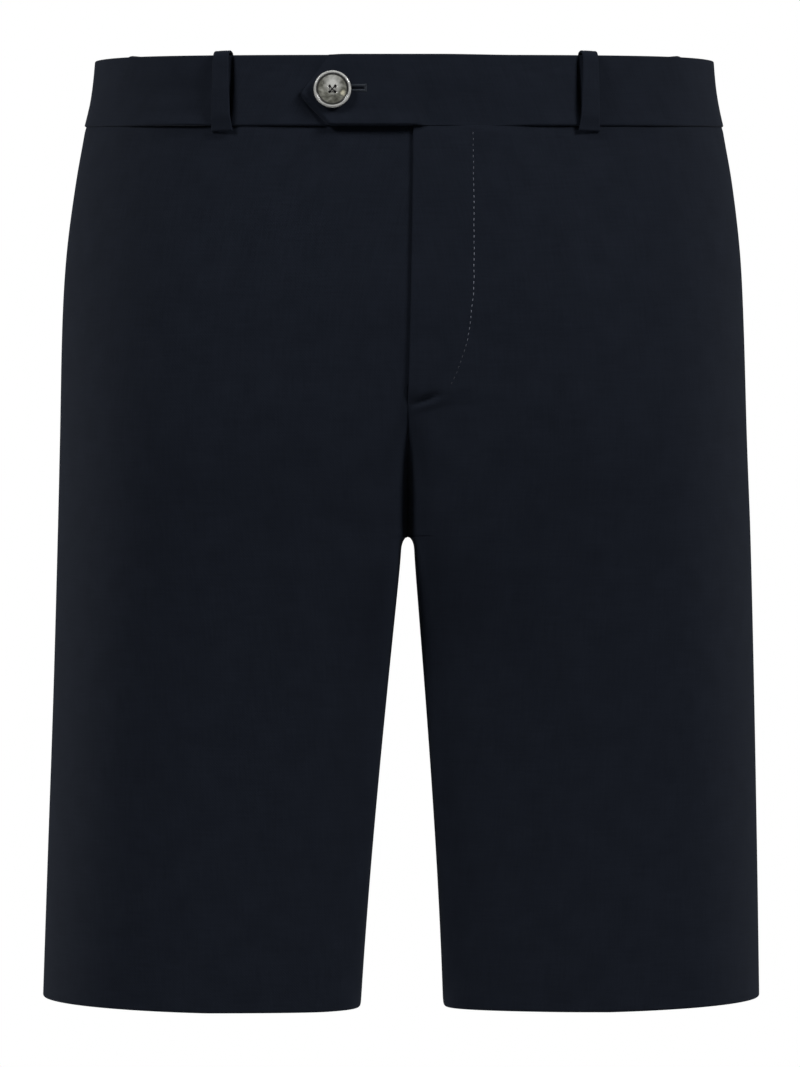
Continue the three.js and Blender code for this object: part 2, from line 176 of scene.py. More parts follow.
def section_at(side, back, drop):
    """One leg's half section at a drop: its widths, depth and squareness."""
    leg = leg_of(side)
    outer = size_at(drop, leg)
    fullest = size_at(drop, "fullest")
    depth = np.where(back, size_at(drop, "back"), size_at(drop, "front"))
    square = size_at(drop, "square")
    below = np.maximum(0, drop - RISE)
    above = np.maximum(0, RISE - drop)
    eased = above**2 / (above + CROTCH["ease"])
    rest = np.maximum(0, 1 - eased / np.where(back, CROTCH["back"], CROTCH["front"]))
    boxed = np.where(back, 0, smooth(FACET["top"], FACET["full"], drop))
    boxy = FACET["square"] + (FACET["hem"] - FACET["square"]) * smooth(RISE, LENGTH, drop)
    inner_square = square + (boxy - square) * boxed
    seam_depth = (1 - rest ** CROTCH["power"]) ** (1 / square)
    slope = SLOPES[leg]
    at_centre = slope["steep"] * slope["start"] ** 2 / (slope["start"] + slope["ease"])
    room = FACET["room"] * depth * (1 - seam_depth) / at_centre
    share = np.where(back, 0, smooth(slope["top"], slope["full"], drop)) * room / np.hypot(1, room)
    seam_share = np.minimum(1, depth * seam_depth / (depth - share * at_centre))
    cut = np.maximum(CROTCH["flattest"], (1 - seam_share**inner_square) ** (1 / inner_square))
    down = (below - SPREAD["ease"] * (1 - np.exp(-below / SPREAD["ease"]))) / (LENGTH - RISE)
    bend = SPREAD[leg + "_bend"]
    spread = SPREAD[leg] * down * (1 - bend * down**2) / (1 - bend)
    return {
        "fullest": fullest,
        "outer": outer - fullest,
        "inner": (fullest - spread) / cut,
        "arched": ARCH["width"] * np.sqrt(1 - (1 - np.minimum(1, below / ARCH["height"])) ** 2),
        "depth": depth,
        "square": square,
        "inner_square": inner_square,
        "steep": share * slope["steep"],
    }


def face_point(side, turn, drop):
    """Points of the cloth's face."""
    section = section_at(side, turn < 0, drop)
    power = np.where(np.cos(turn) < 0, section["inner_square"], section["square"])
    along, out = rounded_square(turn, power)
    inward = np.maximum(0, -along)
    inner = along * section["inner"] + section["arched"] * inward ** ARCH["near"]
    across = section["fullest"] + np.where(along > 0, along * section["outer"], inner)
    slope = SLOPES[leg_of(side)]
    sloped = np.maximum(0, slope["start"] - across)
    y = -(section["depth"] - section["steep"] * sloped**2 / (sloped + slope["ease"])) * out
    lean = LEAN["share"] * (y + size_at(np.float64(0), "front")) * (1 - smooth(0, LEAN["fade"], drop))
    bow = HEM["bow_" + leg_of(side)] * np.sqrt(np.maximum(0, 1 - along**2))
    slant = (HEM["slant"] * np.maximum(0, along) - bow) * smooth(HEM["fade"], LENGTH, drop)
    return np.stack([side * (across + SEAM_GAP / 2), y, lean + slant - drop + 0 * across], axis=-1)


def face_normal(side, turn, drop):
    """The directions straight out of the cloth's face."""
    turn_step, drop_step = 0.01, 0.5
    round_way = face_point(side, turn + turn_step, drop) - face_point(side, turn - turn_step, drop)
    down_way = face_point(side, turn, drop + drop_step) - face_point(side, turn, drop - drop_step)
    normal = side * np.cross(round_way, down_way)
    return normal / np.linalg.norm(normal, axis=-1, keepdims=True)


def turn_at(side, back, drop, across):
    """The turn at which a section reaches a distance from the centre."""
    section = section_at(side, back, drop)
    start = across - section["fullest"]
    along = np.clip(start / np.where(start > 0, section["outer"], section["inner"]), -1, 1)
    power = np.where(start > 0, section["square"], section["inner_square"])
    turn = np.arctan2((1 - np.abs(along) ** power) ** (1 / power), along)
    return -turn if back else turn


def spaced(length, edges, step):
    """Distances along a length: close together over the edges' rounding, and evenly spaced between."""
    near = np.array(edges)
    count = max(2, round((length - 2 * near[-1]) / step))
    middle = np.linspace(near[-1], length - near[-1], count + 1)
    return np.concatenate([near[:-1], middle, length - near[-2::-1]])


def row_turns(side, drop, start, end, past, shares):
    """Turns along one row from start to end, at shares of its length, and the length.

    past: how far the row goes on at both ends.
    """
    further, samples = 0.02, 120
    inner_marks = (m for m in (-QUARTER_TURN, 0, QUARTER_TURN) if start < m < end)
    marks = [start - further, start, *inner_marks, end, end + further]
    fine = np.concatenate([np.linspace(a, b, samples) for a, b in zip(marks, marks[1:])])
    points = face_point(side, fine, np.full_like(fine, drop))
    steps = np.linalg.norm(np.diff(points, axis=0), axis=1)
    lengths = np.concatenate([[0], np.cumsum(steps)])
    first = np.interp(start, fine, lengths) - past
    last = np.interp(end, fine, lengths) + past
    return np.interp(first + (last - first) * shares, lengths, fine), last - first


# Meshes


def linked(name, mesh):
    """An object in the scene for a mesh, shaded smooth."""
    obj = bpy.data.objects.new(name, mesh)
    bpy.context.scene.collection.objects.link(obj)
    for polygon in mesh.polygons:
        polygon.use_smooth = True
    return obj


def new_object(name, vertices, faces, uvs=None):
    """A mesh object from points in millimetres."""
    mesh = bpy.data.meshes.new(name)
    mesh.from_pydata((np.asarray(vertices, float) * MM).tolist(), [], [tuple(f) for f in faces])
    if uvs is not None:
        layer = mesh.uv_layers.new(name="cloth")
        corners = np.zeros(len(mesh.loops), int)
        mesh.loops.foreach_get("vertex_index", corners)
        layer.data.foreach_set("uv", (np.asarray(uvs)[corners] * MM).ravel().astype(np.float32))
    mesh.update()
    return linked(name, mesh)


def shell(name, face, inside, uv):
    """A closed piece of cloth between two grids of points."""
    rows, columns = face.shape[:2]
    index = np.arange(2 * rows * columns).reshape(2, rows, columns)

    def quads(a, b, c, d):
        return np.stack([a.ravel(), b.ravel(), c.ravel(), d.ravel()], axis=1)

    outer, inner = index
    faces = [
        quads(outer[:-1, :-1], outer[1:, :-1], outer[1:, 1:], outer[:-1, 1:]),
        quads(inner[:-1, :-1], inner[:-1, 1:], inner[1:, 1:], inner[1:, :-1]),
        quads(outer[:-1, 0], inner[:-1, 0], inner[1:, 0], outer[1:, 0]),
        quads(outer[:-1, -1], outer[1:, -1], inner[1:, -1], inner[:-1, -1]),
        quads(outer[0, :-1], outer[0, 1:], inner[0, 1:], inner[0, :-1]),
        quads(outer[-1, :-1], inner[-1, :-1], inner[-1, 1:], outer[-1, 1:]),
    ]
    faces = np.concatenate(faces)
    points = np.concatenate([face.reshape(-1, 3), inside.reshape(-1, 3)])
    a, b, c = (points[faces[:, i]] for i in (0, 1, 2))
    if np.einsum("ij,ij->i", a, np.cross(b, c)).sum() < 0:
        faces = faces[:, ::-1]
    uvs = np.concatenate([uv.reshape(-1, 2), uv.reshape(-1, 2)])
    return new_object(name, points, faces.tolist(), uvs)


def rounding(distance, radius):
    """How far a rounded edge falls away at a distance from it."""
    near = np.clip(radius - distance, 0, radius)
    return (radius - np.sqrt(np.maximum(radius**2 - near**2, 0))) * ROLL


def seam_dip(distance, depth=SEAM_DIP["depth"], width=SEAM_DIP["width"]):
    """How far cloth sinks towards a seam."""
    return depth * np.exp(-((distance / width) ** 2))


# Stations near an edge, as distances from it
EDGE = (0, 0.12, 0.35, 0.7, 1.2, 2.0, 3.2)

# A crease's depth at its ends, as a share of its depth in the middle
CREASE_END = 0.35
# Creases in the cloth: both ends of each as x and z, its half width and its depth, negative for a ridge
FRONT_CREASES = (
    ((15.4, -142.1), (3.0, -147.8), 1.5, 1.9),
    ((19.6, -145.2), (2.0, -150.6), 1.7, -1.1),
    ((26, -176), (6, -205), 6, 0.5),
    ((-24, -180), (-6, -206), 6, 0.45),
    ((60, -196), (18, -216), 8, 0.4),
    ((-64, -200), (-18, -217), 8, 0.4),
)
BACK_CREASES = (
    ((70, -214), (14, -196), 8, 0.9),
    ((-66, -210), (-14, -195), 8, 0.9),
    ((110, -226), (40, -222), 9, 0.7),
    ((-116, -230), (-44, -222), 9, 0.6),
    ((96, -300), (92, -430), 16, 0.5),
    ((-100, -290), (-98, -440), 16, 0.5),
)
BAND_CREASES = (
    ((-158, 20), (-108, 20), 6, 0.9),
    ((-58, 30), (-40, 24), 6, 0.5),
)
# Where the waistband is pressed in beside the tab's lower edge and on the front loops' inner sides
BAND_PRESSES = (
    ((-57.0, 16.2), (-42.2, -0.2), 1.1, 2.5),
    ((-93.8, 38), (-95.0, 2), 1.0, 1.8),
    ((90.9, 38), (92.4, 2), 1.0, 1.8),
)

# How far the waistband's lower edge stands off over the seam, by x in front
EDGE_LIFTS = (
    (-170, -0.2), (-156, 0.0), (-140, 1.5), (-112, 2.0), (-100, 0.8),
    (-86, 0.0), (-66, 0.6), (-46, 1.0), (1, 0.8), (5, 0.0),
    (10, -2.2), (38, -2.0), (52, -0.8), (66, 0.3), (82, 0.9),
    (112, 0.3), (132, 0.8), (150, 0.2), (170, 0.0),
)


def to_segment(x, z, start, end):
    """Distance of points from a segment, and how far along it they lie."""
    ax, az = start
    bx, bz = end[0] - ax, end[1] - az
    along = np.clip(((x - ax) * bx + (z - az) * bz) / (bx**2 + bz**2), 0, 1)
    return np.hypot(x - ax - along * bx, z - az - along * bz), along


def creased(points, creases):
    """Height of the creases at points, outwards."""
    x, z = points[..., 0], points[..., 2]
    height = np.zeros_like(x)
    for start, end, width, depth in creases:
        distance, along = to_segment(x, z, start, end)
        ends = CREASE_END + (1 - CREASE_END) * np.sin(np.pi * np.clip(along, 0.02, 0.98))
        height -= depth * ends * np.exp(-((distance / width) ** 2))
    return height


# The curve of the fly's stitching on the left front, from the waistband down, as x and z
J_CURVE = (
    (34.5, -2.4), (34.9, -38), (35.0, -71), (34.7, -90), (33.5, -98),
    (32.7, -107), (30.6, -117), (28.0, -125), (24.9, -133), (21.8, -139),
)
# How far the stitches draw the cloth in, and over what distance
DRAWN_IN = {"depth": 0.3, "width": 1.3}


def to_j_curve(points):
    """Distance of points from the fly's stitching."""
    x, z = points[..., 0], points[..., 2]
    nearest = np.full_like(x, 1e6)
    for start, end in zip(J_CURVE, J_CURVE[1:]):
        nearest = np.minimum(nearest, to_segment(x, z, start, end)[0])
    return nearest


# Cloth pieces


def lap_share(across):
    """How much of its full height a lapped piece keeps at a distance across."""
    return 1 - smooth(LAP["flat"], LAP["stitched"], across)


def front_edge(side, drop):
    """How far from the centre a front panel's inner edge lies. The right one runs on under the fly."""
    edge = FLY["edge"] * (1 - np.clip(drop / FLY["bottom"], 0, 1) ** FLY["bend"])
    if side == LEFT:
        return edge
    return -edge - FLY["underlap"] * (1 - smooth(FLY["under_end"], FLY["under_gone"], drop))


def grid(side, drops, ends, step, widest):
    """Turns, drops and lengths of a grid of stations, row by row.

    ends gives a row's first and last turn, and how far it runs past them.
    """
    shares = spaced(widest, EDGE, step) / widest
    rows = [row_turns(side, drop, *ends(drop), shares) for drop in drops]
    turns = np.array([turn for turn, _ in rows])
    lengths = [length for _, length in rows]
    return turns, np.repeat(drops[:, None], len(shares), axis=1), np.outer(lengths, shares)


# Drops of closer rows round the crotch point, counted from it, and at the fly's end
CROTCH_ROWS = (-7, -5, -3.4, -2.2, -1.2, -0.4, 0, 0.3, 0.8, 1.6, 2.6, 3.8, 5.2, 7)
FLY_END_ROWS = np.arange(134, 158, 1.3)


def panel_rows():
    """Drops of a panel's rows, closer together at its edges, at the fly's end and round the crotch."""
    rows = spaced(LENGTH + TUCKED, EDGE, PANEL_GRID["rows"]) - TUCKED
    for near in (FLY_END_ROWS, RISE + np.array(CROTCH_ROWS)):
        away = (rows < near[0] - 1) | (rows > near[-1] + 1)
        rows = np.sort(np.concatenate([rows[away], near]))
    return rows


def close_centre(side, points, normals, from_centre, share):
    """Draws a piece's centre edge up to the other side's, and its walls out of the seam's plane."""
    drawn = np.exp(-((from_centre / CENTRE["drawn"]) ** 2))
    points[..., 0] -= side * (SEAM_GAP / 2 + SEAM_LAP) * share * drawn
    normals[..., 0] *= 1 - share * np.exp(-((from_centre / CENTRE["turned"]) ** 2))


def front_lift(side, points, drop, from_centre, on_fly):
    """How far a front panel's face is lifted off the form, or sinks into it."""
    lapped = on_fly if side == LEFT else 0 * on_fly
    lift = (CLOTH + LAP_GAP) * lapped * lap_share(side * points[..., 0])
    in_valley = smooth(VALLEY["top"], VALLEY["full"], drop) * (1 - smooth(RISE - 3, RISE + 2, drop))
    depth = SEAM_DIP["depth"] + VALLEY["deeper"] * in_valley
    width = SEAM_DIP["width"] + VALLEY["wider"] * in_valley
    lift += creased(points, FRONT_CREASES) - seam_dip(from_centre, depth, width) * (1 - on_fly)
    if side == LEFT:
        lift -= DRAWN_IN["depth"] * np.exp(-((to_j_curve(points) / DRAWN_IN["width"]) ** 2))
    return lift


def panel(name, side, back):
    """One of the four panels. The hem is doubled, and its edge is a rolled fold."""

    def ends(drop):
        centre = turn_at(side, back, np.float64(drop), 0 if back else front_edge(side, drop))
        return (centre, 0, SEAM_LAP) if back else (0, centre, SEAM_LAP)

    step = PANEL_GRID["back" if back else "front"]
    turn, drop, along = grid(side, panel_rows(), ends, step, PANEL_GRID["longest"])
    points = face_point(side, turn, drop)
    normals = face_normal(side, turn, drop)
    width = along[:, -1:]
    from_side, from_centre = (width - along, along) if back else (along, width - along)
    on_fly = 0 * drop if back else 1 - smooth(FLY["under_gone"], FLY["bottom"], drop)
    above_crotch = 1 - smooth(RISE - 0.5, RISE + 1, drop)
    close_centre(side, points, normals, from_centre, above_crotch * (1 - on_fly))
    if back:
        lift = creased(points, BACK_CREASES) - seam_dip(from_centre)
    else:
        lift = front_lift(side, points, drop, from_centre, on_fly)
    lift -= seam_dip(from_side) + seam_dip(drop, WAIST_DIP)
    fold = LENGTH - HEM_DEPTH
    thickness = CLOTH * (1 + smooth(fold, fold + HEM_STEP, drop))
    edge = np.minimum(np.minimum(from_side, from_centre), np.minimum(drop + TUCKED, LENGTH - drop))
    fall = rounding(edge, thickness / 2)
    face = points + normals * (lift - fall)[..., None]
    inside = points + normals * (lift - thickness + fall)[..., None]
    return shell(name, face, inside, np.stack([along, -drop], axis=-1))


def band_end(side, up):
    """How far past the centre front a half of the waistband runs at a height up the band."""
    if side == RIGHT:
        return -(FLY["edge"] + FLY["underlap"])
    reach = TAB["middle"] if up < TAB["middle"] else BAND_HEIGHT - TAB["middle"]
    away = (up - TAB["middle"], reach)
    blunted, whole = (math.hypot(height, TAB["blunt"]) - TAB["blunt"] for height in away)
    return -(TAB["corner"] + (TAB["point"] - TAB["corner"]) * (1 - blunted / whole))


def band_edge_lift(x, up, turn):
    """How far the waistband's lower edge stands off or is pressed in, and where it is pressed flat."""
    in_front = turn > 0
    stands_off = np.interp(x, *zip(*EDGE_LIFTS))
    reach = np.where(stands_off < 0, BAND_EDGE["in"], BAND_EDGE["out"])
    lift = np.where(in_front, stands_off, BAND_EDGE["stands_off"]) * (1 - smooth(0, reach, up))
    low = 1 - smooth(BAND_EDGE["flat"], BAND_EDGE["rounded"], up)
    return lift, np.clip(-stands_off, 0, 1) * low * in_front


def waistband(name, side):
    """Half of the waistband, from the centre back round to its end at the front."""
    ups = spaced(BAND_HEIGHT - SEAM_GAP, EDGE, BAND_GRID["up"]) + SEAM_GAP

    def ends(drop):
        start = turn_at(side, True, np.float64(drop), 0)
        end = turn_at(side, False, np.float64(drop), band_end(side, -drop))
        return start, end, SEAM_LAP

    turn, drop, along = grid(side, -ups, ends, BAND_GRID["along"], BAND_GRID["longest"])
    points = face_point(side, turn, drop)
    normals = face_normal(side, turn, drop)
    close_centre(side, points, normals, along, 1)
    up = -drop
    on_lap = np.where((side == LEFT) & (turn > 0), lap_share(points[..., 0]), 0)
    lift = BAND_PROUD + (BAND + LAP_GAP) * on_lap - seam_dip(along)
    lift += np.where(turn > 0, creased(points, BAND_CREASES + BAND_PRESSES), 0)
    edge_lift, pressed = band_edge_lift(points[..., 0], up, turn)
    lift += edge_lift
    from_top = BAND_HEIGHT - up
    from_end = along[:, -1:] - along
    edge = np.minimum(np.minimum(up - SEAM_GAP, from_top), np.minimum(along, from_end))
    at_tip = np.exp(-((from_end / TAB_EDGE["width"]) ** 2)) if side == LEFT else 0 * up
    upper = smooth(TAB_EDGE["low"], TAB_EDGE["high"], up)
    lift += at_tip * (TAB_EDGE["open"] * (1 - upper) - TAB_EDGE["closed"] * upper)
    thinned = TAB_EDGE["thinned"] * at_tip * upper
    fall = rounding(edge, BAND_EDGE["round"]) * (1 - pressed) * (1 - at_tip * upper)
    at_side = np.exp(-((turn / CORNER["turn"]) ** 2))
    lift -= CORNER["hollow"] * at_side * np.sin(np.pi * up / BAND_HEIGHT)
    points[..., 2] -= CORNER["dip"] * at_side * up / BAND_HEIGHT
    face = points + normals * (lift - fall - thinned)[..., None]
    inside = points + normals * (lift - BAND + fall)[..., None]
    return shell(name, face, inside, np.stack([along, up], axis=-1))


# A belt loop's path: height up the band, distance out from the cloth's face, thickness and width
LOOP_PATH = (
    (-2.8, 1.5, 1.9, 12.6),
    (0.4, 2.2, 1.5, 11.8),
    (5, 3.4, 1.4, 10.8),
    (19, 4.1, 1.4, 10),
    (33, 3.8, 1.4, 9.4),
    (37, 3.5, 1.4, 9.2),
    (39.2, 2, 1.4, 9.2),
    (39.9, -0.8, 1.4, 9.2),
    (39.2, -3.3, 1.4, 9.2),
    (36.5, -4.2, 1.4, 9.2),
    (31, -4.2, 1.4, 9.2),
)
# Stations along a loop and, as shares of its width, across it
LOOP_GRID = {"along": 0.8, "edge": (0, 0.015, 0.05, 0.11, 0.2), "across": 0.1}
# How finely a loop's path is read, and over how many readings its turns are rounded
LOOP_READING = {"samples": 240, "rounded": 15}
# The pressed line beside a loop's edges
LOOP_LINE = {"depth": 0.12, "from_edge": 1.6, "width": 0.5}
# The front loops stand off more on the side towards the centre
LOOP_TILT = 0.1
LOOPS = (
    {"name": "belt_loop_front_right", "side": RIGHT, "back": False, "across": 98.3},
    {"name": "belt_loop_front_left", "side": LEFT, "back": False, "across": 95.8},
    {"name": "belt_loop_side_right", "side": RIGHT, "back": True, "turn": 0.58},
    {"name": "belt_loop_side_left", "side": LEFT, "back": True, "turn": 0.58},
    {"name": "belt_loop_back", "side": LEFT, "back": True, "across": 0},
)


def loop_stations():
    """Distances along a belt loop, and the columns of its path there, rounded where the path turns."""
    path = np.array(LOOP_PATH, float)
    steps = np.hypot(*np.diff(path[:, :2], axis=0).T)
    lengths = np.concatenate([[0], np.cumsum(steps)])
    wanted = spaced(lengths[-1], EDGE[:5], LOOP_GRID["along"])
    even = np.linspace(0, lengths[-1], LOOP_READING["samples"])
    kernel = np.hanning(LOOP_READING["rounded"])
    kernel /= kernel.sum()
    columns = []
    for column in path.T:
        values = np.interp(even, lengths, column)
        padded = np.pad(values, LOOP_READING["rounded"] // 2, mode="reflect", reflect_type="odd")
        columns.append(np.interp(wanted, even, np.convolve(padded, kernel, mode="valid")))
    return wanted, columns


def belt_loop(name, place):
    """A loop of folded cloth with slightly rolled edges, turned in at its foot."""
    down, (up, out, thick, width) = loop_stations()
    if "turn" in place:
        turn = np.full_like(up, -place["turn"])
    else:
        turn = turn_at(place["side"], place["back"], -up, place["across"])
    points = face_point(place["side"], turn, -up)
    normals = face_normal(place["side"], turn, -up)
    round_way = np.cross([0, 0, 1], normals)
    round_way /= np.linalg.norm(round_way, axis=1, keepdims=True)
    way_up, way_out = np.gradient(up), np.gradient(out)
    size = np.hypot(way_up, way_out)
    way_up, way_out = way_up / size, way_out / size
    shares = spaced(1, LOOP_GRID["edge"], LOOP_GRID["across"])
    across = (shares - 0.5) * width[:, None]
    from_side = width[:, None] / 2 - np.abs(across)
    from_end = np.minimum(down, down[-1] - down)[:, None]
    fall = rounding(np.minimum(from_side, from_end), thick[:, None] / 2)
    from_line = (from_side - LOOP_LINE["from_edge"]) / LOOP_LINE["width"]
    line = LOOP_LINE["depth"] * np.exp(-(from_line**2))
    tilt = 0 if place["back"] else -place["side"] * LOOP_TILT

    def layer(offset):
        outwards = out[:, None] + tilt * across + way_up[:, None] * offset
        moved = points[:, None, :] + round_way[:, None, :] * across[..., None]
        moved = moved + normals[:, None, :] * outwards[..., None]
        moved[..., 2] -= way_out[:, None] * offset
        return moved

    face = layer(thick[:, None] / 2 - fall - line)
    inside = layer(-thick[:, None] / 2 + fall)
    return shell(name, face, inside, np.stack([across, down[:, None] + 0 * across], axis=-1))


# Small parts


def lathe(name, profile, segments):
    """A solid of revolution about +Y from a profile of radius and height that ends on the axis.

    Its map gives x and z as shares of the widest radius.
    """
    made = bmesh.new()
    widest = max(radius for radius, _ in profile) * MM
    turns = np.linspace(0, 2 * np.pi, segments, endpoint=False)
    rings = []
    for radius, out in profile:
        if radius == 0:
            rings.append([made.verts.new((0, out * MM, 0))])
        else:
            ring = [Vector((radius * math.cos(t), out, radius * math.sin(t))) * MM for t in turns]
            rings.append([made.verts.new(corner) for corner in ring])
    for lower, upper in zip(rings, rings[1:]):
        for i in range(segments):
            j = (i + 1) % segments
            corners = [(lower, i), (upper, i), (upper, j), (lower, j)]
            made.faces.new(list(dict.fromkeys(ring[k % len(ring)] for ring, k in corners)))
    bmesh.ops.recalc_face_normals(made, faces=made.faces)
    disc_map = made.loops.layers.uv.new("disc")
    for face in made.faces:
        for loop in face.loops:
            loop[disc_map].uv = (loop.vert.co.x / widest, loop.vert.co.z / widest)
    mesh = bpy.data.meshes.new(name)
    made.to_mesh(mesh)
    made.free()
    return linked(name, mesh)


def tube(points, radius, sides=8):
    """A round thread along points in millimetres, with closed ends."""
    points = np.asarray(points, float)
    ways = np.gradient(points, axis=0)
    ways /= np.linalg.norm(ways, axis=1, keepdims=True)
    vertices = []
    for point, way in zip(points, ways):
        first = np.cross(way, [0.3, 0.2, 1.0])
        first /= np.linalg.norm(first)
        second = np.cross(way, first)
        for k in range(sides):
            t = 2 * np.pi * k / sides
            vertices.append(point + radius * (np.cos(t) * first + np.sin(t) * second))
    faces = []
    for i in range(len(points) - 1):
        for k in range(sides):
            a, b = i * sides + k, i * sides + (k + 1) % sides
            faces.append((a, b, b + sides, a + sides))
    faces.append(tuple(reversed(range(sides))))
    faces.append(tuple(range((len(points) - 1) * sides, len(points) * sides)))
    return np.array(vertices), faces


def join(name, parts):
    """One object from several sets of vertices and faces."""
    vertices, faces, count = [], [], 0
    for part_vertices, part_faces in parts:
        vertices.append(part_vertices)
        faces += [tuple(int(i) + count for i in f) for f in part_faces]
        count += len(part_vertices)
    return new_object(name, np.concatenate(vertices), faces)


def on_face(side, x, z, out):
    """A point of the front at x and z, moved out from the cloth's face, and its normal."""
    drop = -z
    for _ in range(4):
        turn = turn_at(side, False, np.float64(drop), side * x - SEAM_GAP / 2)
        point = face_point(side, turn, np.float64(drop))
        drop += point[2] - z
    normal = face_normal(side, turn, np.float64(drop))
    return point + normal * out, normal


# The fly's stitches. raised and bent: how high a stitch's middle lies and how far its ends dip, as
# shares of its radius. aside and sunk: how uneven the stitches are.
STITCH = {"spacing": 3.05, "length": 1.55, "radius": 0.2, "raised": 0.9, "bent": 1.9}
UNEVEN = {"aside": 0.07, "sunk": (-0.06, 0.03)}


def fly_height(x, z):
    """How high the left front's surface lies over the form near the fly's stitching."""
    on_fly = 1 - smooth(FLY["under_gone"], FLY["bottom"], -z)
    return (CLOTH + LAP_GAP) * on_fly * lap_share(x) - DRAWN_IN["depth"]


def fly_stitches():
    """The row of short stitches that holds the fly, on the left front."""
    path = np.array(J_CURVE, float)
    radius = STITCH["radius"]
    lengths = np.concatenate([[0], np.cumsum(np.hypot(*np.diff(path, axis=0).T))])
    parts = []
    random = np.random.default_rng(4)
    for middle in np.arange(STITCH["spacing"] / 2, lengths[-1], STITCH["spacing"]):
        points = []
        shift = random.normal(0, UNEVEN["aside"])
        sink = random.uniform(*UNEVEN["sunk"])
        for share in np.linspace(-0.5, 0.5, 7):
            at = middle + share * STITCH["length"]
            x, z = (np.interp(at, lengths, path[:, k]) for k in (0, 1))
            raised = radius * STITCH["raised"] - radius * STITCH["bent"] * (2 * abs(share)) ** 3
            height = fly_height(x, z) + sink + raised
            points.append(on_face(LEFT, x + shift, z, height)[0])
        parts.append(tube(points, radius, 6))
    return join("Fly_stitches", parts)


# The button's outline as radius and distance out, from the middle of its back round the rim to its dish
BUTTON_PROFILE = (
    (0, 0.0), (7.6, 0.0), (8.8, 0.2), (9.6, 0.7), (10.0, 1.4), (9.98, 1.9),
    (9.86, 2.35), (9.62, 2.72), (9.3, 2.92), (9.0, 2.95), (8.72, 2.84), (8.5, 2.6),
    (8.36, 2.3), (8.2, 2.12), (7.95, 2.1), (7.6, 2.2), (7.1, 2.28), (6.4, 2.22),
    (5.6, 2.1), (4.6, 1.96), (3.4, 1.82), (2.0, 1.73), (0, 1.7),
)


def button():
    """The button with its four holes, its axis along +Y."""
    made = lathe("Button", BUTTON_PROFILE, 96)
    spread = BUTTON["hole_spread"]
    for x in (-spread, spread):
        for z in (-spread, spread):
            radius, depth = BUTTON["hole"] * MM, 8 * MM
            bpy.ops.mesh.primitive_cylinder_add(vertices=20, radius=radius, depth=depth)
            drill = bpy.context.object
            drill.rotation_euler = (QUARTER_TURN, 0, 0)
            drill.location = (x * MM, 0, z * MM)
            bpy.context.view_layer.update()
            cutter = made.modifiers.new("hole", "BOOLEAN")
            cutter.object = drill
            cutter.solver = "EXACT"
            with bpy.context.temp_override(object=made, active_object=made):
                bpy.ops.object.modifier_apply(modifier=cutter.name)
            bpy.data.objects.remove(drill)
    return made


def lay_on_tab(obj):
    """Moves what is made about +Y to the button's place on the tab, upright."""
    point, normal = tab_point(-BUTTON["across"], BUTTON["up"], BUTTON["standoff"])
    out = Vector(normal)
    across = out.cross(Vector((0, 0, 1))).normalized()
    turned = Matrix((across, out, across.cross(out))).transposed()
    obj.data.transform(Matrix.Translation(Vector(point) * MM) @ turned.to_4x4())


def tab_point(x, up, out):
    """A point on the tab's face, moved out, and its normal."""
    turn = turn_at(LEFT, False, np.float64(-up), x)
    point = face_point(LEFT, turn, np.float64(-up))
    normal = face_normal(LEFT, turn, np.float64(-up))
    return point + normal * (BAND_PROUD + BAND + LAP_GAP + out), normal


# A stitch between two holes: the share of the way from the middle to a hole, the distance out, and the
# share of the rise where it crosses over the other stitch
THREAD_PATH = (
    (-1, 0.6, 0),
    (-0.97, 1.75, 0),
    (-0.6, 2.2, 1),
    (0, 2.28, 1),
    (0.6, 2.2, 1),
    (0.97, 1.75, 0),
    (1, 0.6, 0),
)
THREAD = {"radius": 0.24, "apart": 0.12, "over": 0.22}
# The thread between the button and the tab
SHANK = {"path": ((0.5, -0.6, 0), (0.2, 0.1, 0), (0, 0.6, 0)), "radius": 1.1}


def button_thread():
    """Two stitches crossed in an X between the button's holes, with their ends going down the holes."""
    spread = BUTTON["hole_spread"]
    parts = []
    for x, over in ((-spread, 0.0), (spread, THREAD["over"])):
        for shift in (-THREAD["apart"], THREAD["apart"]):
            points = [(shift - x * way, out + over * rise, spread * way) for way, out, rise in THREAD_PATH]
            parts.append(tube(points, THREAD["radius"]))
    parts.append(tube(SHANK["path"], SHANK["radius"], 10))
    return join("Button_thread", parts)


# The part of the buttonhole that shows beside the button: where it runs, by x and height up the band,
# the radius of its slit, and the distance between the stitches of its edges
HOLE = {"first": -32.0, "last": -22.8, "upper": 21.2, "lower": 18.5, "slit": 0.85, "spacing": 0.4}
# A stitch over the hole's edge, as height up and distance out, and one of the bar, as x and distance out
EDGE_STITCH = {"path": ((-0.55, 0.0), (0, 0.16), (0.55, 0.0)), "radius": 0.17}
BAR_STITCH = {"path": ((-0.5, 0.0), (0.2, 0.25), (0.9, 0.0)), "radius": 0.2, "past": 0.5, "count": 8}


def buttonhole_edges():
    """The worked edges of the buttonhole, and the bar across its end."""
    parts = []
    for up in (HOLE["upper"], HOLE["lower"]):
        for x in np.arange(HOLE["first"], HOLE["last"], HOLE["spacing"]):
            path = [tab_point(x, up + rise, out)[0] for rise, out in EDGE_STITCH["path"]]
            parts.append(tube(path, EDGE_STITCH["radius"], 6))
    past = BAR_STITCH["past"]
    for up in np.linspace(HOLE["lower"] - past, HOLE["upper"] + past, BAR_STITCH["count"]):
        path = [tab_point(HOLE["last"] + shift, up, out)[0] for shift, out in BAR_STITCH["path"]]
        parts.append(tube(path, BAR_STITCH["radius"], 6))
    return join("Buttonhole_stitching", parts)


